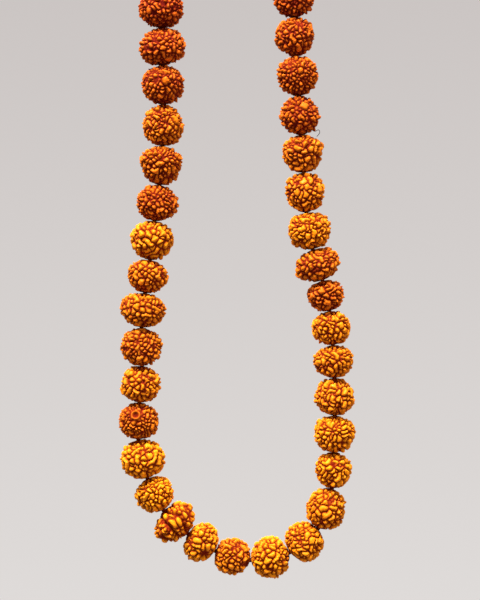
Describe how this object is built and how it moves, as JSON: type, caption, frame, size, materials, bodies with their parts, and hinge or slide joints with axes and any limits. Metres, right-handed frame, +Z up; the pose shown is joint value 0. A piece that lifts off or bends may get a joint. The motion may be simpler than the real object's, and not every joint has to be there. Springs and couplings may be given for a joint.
{
  "type": "mala prayer beads",
  "caption": "Loop of furrowed seed beads on a cord, hanging over a peg, with a larger guru bead, a knot and a short tassel beside it.",
  "frame": {"origin": "top of the peg that the loop hangs over, at the middle of its arch", "axes": "+Z up along the loop, +X to the right across it, +Y away from the viewer, through the loop"},
  "size_m": [0.0532, 0.0096, 0.191],
  "materials": {
    "seed": "hard oiled seed, golden ridges over dark red-brown furrows",
    "guru_seed": "hard oiled seed, a little darker",
    "cord": "twisted cotton",
    "tassel": "silky cotton threads"
  },
  "bodies": {
    "peg_beads": {"cord": "cord", "bead_03": "seed", "bead_04": "seed"},
    "turning_01": {"bead_01": "seed"},
    "turning_02": {"bead_02": "seed"},
    "turning_05": {"bead_05": "seed"},
    "turning_06": {"bead_06": "seed"},
    "rung_01": {"bead_54": "seed"},
    "turning_07": {"bead_07": "seed"},
    "rung_02": {"bead_53": "seed"},
    "turning_08": {"bead_08": "seed"},
    "rung_03": {"bead_52": "seed"},
    "turning_09": {"bead_09": "seed"},
    "rung_04": {"bead_51": "seed"},
    "turning_10": {"bead_10": "seed"},
    "rung_05": {"bead_50": "seed"},
    "turning_11": {"bead_11": "seed"},
    "rung_06": {"bead_49": "seed"},
    "turning_12": {"bead_12": "seed"},
    "rung_07": {"bead_48": "seed"},
    "turning_13": {"bead_13": "seed"},
    "rung_08": {"bead_47": "seed"},
    "turning_14": {"bead_14": "seed"},
    "rung_09": {"bead_46": "seed"},
    "turning_15": {"bead_15": "seed"},
    "rung_10": {"bead_45": "seed"},
    "turning_16": {"bead_16": "seed"},
    "rung_11": {"bead_44": "seed"},
    "turning_17": {"bead_17": "seed"},
    "rung_12": {"bead_43": "seed"},
    "turning_18": {"bead_18": "seed"},
    "rung_13": {"bead_42": "seed"},
    "turning_19": {"bead_19": "seed"},
    "rung_14": {"bead_41": "seed"},
    "turning_20": {"bead_20": "seed"},
    "rung_15": {"bead_40": "seed"},
    "turning_21": {"bead_21": "seed"},
    "rung_16": {"bead_39": "seed"},
    "turning_22": {"bead_22": "seed"},
    "rung_17": {"bead_38": "seed"},
    "turning_23": {"bead_23": "seed"},
    "rung_18": {"bead_37": "seed"},
    "turning_24": {"bead_24": "seed"},
    "rung_19": {"bead_36": "seed"},
    "turning_25": {"bead_25": "seed"},
    "rung_20": {"bead_35": "seed"},
    "turning_26": {"bead_26": "seed"},
    "rung_21": {"bead_34": "seed"},
    "turning_27": {"bead_27": "seed"},
    "rung_22": {"bead_33": "seed"},
    "turning_28": {"bead_28": "seed"},
    "rung_23": {"bead_32": "seed"},
    "turning_29": {"bead_29": "seed"},
    "rung_24": {"bead_31": "seed"},
    "turning_30": {"bead_30": "seed"},
    "guru_drop": {"guru_knot": "cord"},
    "guru_turning": {"guru_bead": "guru_seed"},
    "tassel_neck": {"tassel_cord": "cord"},
    "tassel": {"tassel_binding": "tassel", "tassel_skirt": "tassel"}
  },
  "joints": [
    {"name": "spin_01", "type": "hinge", "parent": "peg_beads", "child": "turning_01", "pos_m": [-0.01278, 0, -0.00792], "axis": [0.1109, 0, 0.9938], "continuous": true},
    {"name": "spin_02", "type": "hinge", "parent": "peg_beads", "child": "turning_02", "pos_m": [-0.00991, 0, -0.00077], "axis": [0.6189, 0, 0.7854], "continuous": true},
    {"name": "spin_05", "type": "hinge", "parent": "peg_beads", "child": "turning_05", "pos_m": [0.00991, 0, -0.00077], "axis": [0.6189, 0, -0.7854], "continuous": true},
    {"name": "spin_06", "type": "hinge", "parent": "peg_beads", "child": "turning_06", "pos_m": [0.01278, 0, -0.00789], "axis": [0.1109, 0, -0.9938], "continuous": true},
    {"name": "fold_01", "type": "hinge", "parent": "peg_beads", "child": "rung_01", "pos_m": [-0.0132, 0, -0.01437], "axis": [0.9948, 0, 0.1017], "range_deg": [-9, 9], "deforming": ["cord"]},
    {"name": "spin_07", "type": "hinge", "parent": "rung_01", "child": "turning_07", "pos_m": [0.01321, 0, -0.01544], "axis": [0.0038, 0, -1], "continuous": true},
    {"name": "fold_02", "type": "hinge", "parent": "rung_01", "child": "rung_02", "pos_m": [-0.0132, 0, -0.02179], "axis": [0.995, 0, 0.0995], "range_deg": [-9, 9], "deforming": ["cord"]},
    {"name": "spin_08", "type": "hinge", "parent": "rung_02", "child": "turning_08", "pos_m": [0.01324, 0, -0.02288], "axis": [0.0038, 0, -1], "continuous": true},
    {"name": "fold_03", "type": "hinge", "parent": "rung_02", "child": "rung_03", "pos_m": [-0.0132, 0, -0.02921], "axis": [0.9953, 0, 0.0973], "range_deg": [-9, 9], "deforming": ["cord"]},
    {"name": "spin_09", "type": "hinge", "parent": "rung_03", "child": "turning_09", "pos_m": [0.01327, 0, -0.03036], "axis": [0.0038, 0, -1], "continuous": true},
    {"name": "fold_04", "type": "hinge", "parent": "rung_03", "child": "rung_04", "pos_m": [-0.0132, 0, -0.03663], "axis": [0.9955, 0, 0.095], "range_deg": [-9, 9], "deforming": ["cord"]},
    {"name": "spin_10", "type": "hinge", "parent": "rung_04", "child": "turning_10", "pos_m": [0.0133, 0, -0.03784], "axis": [0.0038, 0, -1], "continuous": true},
    {"name": "fold_05", "type": "hinge", "parent": "rung_04", "child": "rung_05", "pos_m": [-0.0132, 0, -0.04404], "axis": [0.9957, 0, 0.0928], "range_deg": [-9, 9], "deforming": ["cord"]},
    {"name": "spin_11", "type": "hinge", "parent": "rung_05", "child": "turning_11", "pos_m": [0.01333, 0, -0.04531], "axis": [0.0038, 0, -1], "continuous": true},
    {"name": "fold_06", "type": "hinge", "parent": "rung_05", "child": "rung_06", "pos_m": [-0.0132, 0, -0.05146], "axis": [0.9959, 0, 0.0906], "range_deg": [-9, 9], "deforming": ["cord"]},
    {"name": "spin_12", "type": "hinge", "parent": "rung_06", "child": "turning_12", "pos_m": [0.01336, 0, -0.05279], "axis": [0.0038, 0, -1], "continuous": true},
    {"name": "fold_07", "type": "hinge", "parent": "rung_06", "child": "rung_07", "pos_m": [-0.0132, 0, -0.05888], "axis": [0.9961, 0, 0.0884], "range_deg": [-9, 9], "deforming": ["cord"]},
    {"name": "spin_13", "type": "hinge", "parent": "rung_07", "child": "turning_13", "pos_m": [0.01339, 0, -0.06026], "axis": [0.0038, 0, -1], "continuous": true},
    {"name": "fold_08", "type": "hinge", "parent": "rung_07", "child": "rung_08", "pos_m": [-0.0132, 0, -0.0663], "axis": [0.9963, 0, 0.0861], "range_deg": [-9, 9], "deforming": ["cord"]},
    {"name": "spin_14", "type": "hinge", "parent": "rung_08", "child": "turning_14", "pos_m": [0.0134, 0, -0.06784], "axis": [0, 0, -1], "continuous": true},
    {"name": "fold_09", "type": "hinge", "parent": "rung_08", "child": "rung_09", "pos_m": [-0.013, 0, -0.0738], "axis": [0.9969, 0, 0.0793], "range_deg": [-9, 9], "deforming": ["cord"]},
    {"name": "spin_15", "type": "hinge", "parent": "rung_09", "child": "turning_15", "pos_m": [0.0136, 0, -0.07561], "axis": [0.0512, 0, -0.9987], "continuous": true},
    {"name": "fold_10", "type": "hinge", "parent": "rung_09", "child": "rung_10", "pos_m": [-0.0129, 0, -0.0813], "axis": [0.9977, 0, 0.0673], "range_deg": [-9, 9], "deforming": ["cord"]},
    {"name": "spin_16", "type": "hinge", "parent": "rung_10", "child": "turning_16", "pos_m": [0.01405, 0, -0.08345], "axis": [0.0632, 0, -0.998], "continuous": true},
    {"name": "fold_11", "type": "hinge", "parent": "rung_10", "child": "rung_11", "pos_m": [-0.0128, 0, -0.0891], "axis": [0.998, 0, 0.0626], "range_deg": [-9, 9], "deforming": ["cord"]},
    {"name": "spin_17", "type": "hinge", "parent": "rung_11", "child": "turning_17", "pos_m": [0.01455, 0, -0.0913], "axis": [0.064, 0, -0.998], "continuous": true},
    {"name": "fold_12", "type": "hinge", "parent": "rung_11", "child": "rung_12", "pos_m": [-0.0129, 0, -0.0974], "axis": [0.9969, 0, 0.0792], "range_deg": [-9, 9], "deforming": ["cord"]},
    {"name": "spin_18", "type": "hinge", "parent": "rung_12", "child": "turning_18", "pos_m": [0.0151, 0, -0.09895], "axis": [0.0797, 0, -0.9968], "continuous": true},
    {"name": "fold_13", "type": "hinge", "parent": "rung_12", "child": "rung_13", "pos_m": [-0.0135, 0, -0.1052], "axis": [0.9963, 0, 0.0862], "range_deg": [-9, 9], "deforming": ["cord"]},
    {"name": "spin_19", "type": "hinge", "parent": "rung_13", "child": "turning_19", "pos_m": [0.0156, 0, -0.10667], "axis": [0.0499, 0, -0.9988], "continuous": true},
    {"name": "fold_14", "type": "hinge", "parent": "rung_13", "child": "rung_14", "pos_m": [-0.0145, 0, -0.1124], "axis": [0.9984, 0, 0.056], "range_deg": [-9, 9], "deforming": ["cord"]},
    {"name": "spin_20", "type": "hinge", "parent": "rung_14", "child": "turning_20", "pos_m": [0.01645, 0, -0.1144], "axis": [0.173, 0, -0.9849], "continuous": true},
    {"name": "fold_15", "type": "hinge", "parent": "rung_14", "child": "rung_15", "pos_m": [-0.0154, 0, -0.1202], "axis": [0.9979, 0, 0.0645], "range_deg": [-9, 9], "deforming": ["cord"]},
    {"name": "spin_21", "type": "hinge", "parent": "rung_15", "child": "turning_21", "pos_m": [0.0181, 0, -0.12121], "axis": [0.307, 0, -0.9517], "continuous": true},
    {"name": "fold_16", "type": "hinge", "parent": "rung_15", "child": "rung_16", "pos_m": [-0.0164, 0, -0.1268], "axis": [0.9975, 0, 0.0702], "range_deg": [-9, 9], "deforming": ["cord"]},
    {"name": "spin_22", "type": "hinge", "parent": "rung_16", "child": "turning_22", "pos_m": [0.0198, 0, -0.12734], "axis": [0.2237, 0, -0.9747], "continuous": true},
    {"name": "fold_17", "type": "hinge", "parent": "rung_16", "child": "rung_17", "pos_m": [-0.0171, 0, -0.1337], "axis": [0.9962, 0, 0.0874], "range_deg": [-9, 9], "deforming": ["cord"]},
    {"name": "spin_23", "type": "hinge", "parent": "rung_17", "child": "turning_23", "pos_m": [0.02085, 0, -0.13382], "axis": [0.1024, 0, -0.9947], "continuous": true},
    {"name": "fold_18", "type": "hinge", "parent": "rung_17", "child": "rung_18", "pos_m": [-0.017, 0, -0.1414], "axis": [0.994, 0, 0.1093], "range_deg": [-9, 9], "deforming": ["cord"]},
    {"name": "spin_24", "type": "hinge", "parent": "rung_18", "child": "turning_24", "pos_m": [0.02135, 0, -0.14051], "axis": [0.0454, 0, -0.999], "continuous": true},
    {"name": "fold_19", "type": "hinge", "parent": "rung_18", "child": "rung_19", "pos_m": [-0.0175, 0, -0.1487], "axis": [0.9922, 0, 0.1247], "range_deg": [-9, 9], "deforming": ["cord"]},
    {"name": "spin_25", "type": "hinge", "parent": "rung_19", "child": "turning_25", "pos_m": [0.02155, 0, -0.14754], "axis": [0.0133, 0, -0.9999], "continuous": true},
    {"name": "fold_20", "type": "hinge", "parent": "rung_19", "child": "rung_20", "pos_m": [-0.0178, 0, -0.1561], "axis": [0.9927, 0, 0.1209], "range_deg": [-9, 9], "deforming": ["cord"]},
    {"name": "spin_26", "type": "hinge", "parent": "rung_20", "child": "turning_26", "pos_m": [0.02145, 0, -0.15501], "axis": [-0.0405, 0, -0.9992], "continuous": true},
    {"name": "fold_21", "type": "hinge", "parent": "rung_20", "child": "rung_21", "pos_m": [-0.016, 0, -0.1639], "axis": [0.9904, 0, 0.1381], "range_deg": [-9, 9], "deforming": ["cord"]},
    {"name": "spin_27", "type": "hinge", "parent": "rung_21", "child": "turning_27", "pos_m": [0.0212, 0, -0.16221], "axis": [-0.0278, 0, -0.9996], "continuous": true},
    {"name": "fold_22", "type": "hinge", "parent": "rung_21", "child": "rung_22", "pos_m": [-0.0128, 0, -0.1703], "axis": [0.9917, 0, 0.1287], "range_deg": [-9, 9], "deforming": ["cord"]},
    {"name": "spin_28", "type": "hinge", "parent": "rung_22", "child": "turning_28", "pos_m": [0.01978, 0, -0.16987], "axis": [-0.3162, 0, -0.9487], "continuous": true},
    {"name": "fold_23", "type": "hinge", "parent": "rung_22", "child": "rung_23", "pos_m": [-0.0079, 0, -0.175], "axis": [0.9993, 0, 0.038], "range_deg": [-9, 9], "deforming": ["cord"]},
    {"name": "spin_29", "type": "hinge", "parent": "rung_23", "child": "turning_29", "pos_m": [0.01549, 0, -0.17646], "axis": [-0.7639, 0, -0.6454], "continuous": true},
    {"name": "fold_24", "type": "hinge", "parent": "rung_23", "child": "rung_24", "pos_m": [-0.0024, 0, -0.1785], "axis": [0.9996, 0, -0.0267], "range_deg": [-9, 9], "deforming": ["cord"]},
    {"name": "spin_30", "type": "hinge", "parent": "rung_24", "child": "turning_30", "pos_m": [0.00863, 0, -0.17965], "axis": [-0.9824, 0, -0.1865], "continuous": true},
    {"name": "guru_swing", "type": "hinge", "parent": "peg_beads", "child": "guru_drop", "pos_m": [-0.0185, 0, -0.013], "axis": [1, 0, 0], "range_deg": [-60, 60], "deforming": ["cord"]},
    {"name": "guru_spin", "type": "hinge", "parent": "guru_drop", "child": "guru_turning", "pos_m": [-0.023, 0, -0.0221], "axis": [0, 0, 1], "continuous": true},
    {"name": "tassel_swing", "type": "hinge", "parent": "guru_drop", "child": "tassel_neck", "pos_m": [-0.023, 0, -0.03045], "axis": [1, 0, 0], "range_deg": [-60, 60], "deforming": ["tassel_cord"]},
    {"name": "tassel_sway", "type": "hinge", "parent": "tassel_neck", "child": "tassel", "pos_m": [-0.023, 0, -0.03635], "axis": [0, 1, 0], "range_deg": [-3, 50], "deforming": ["tassel_cord"]}
  ]
}
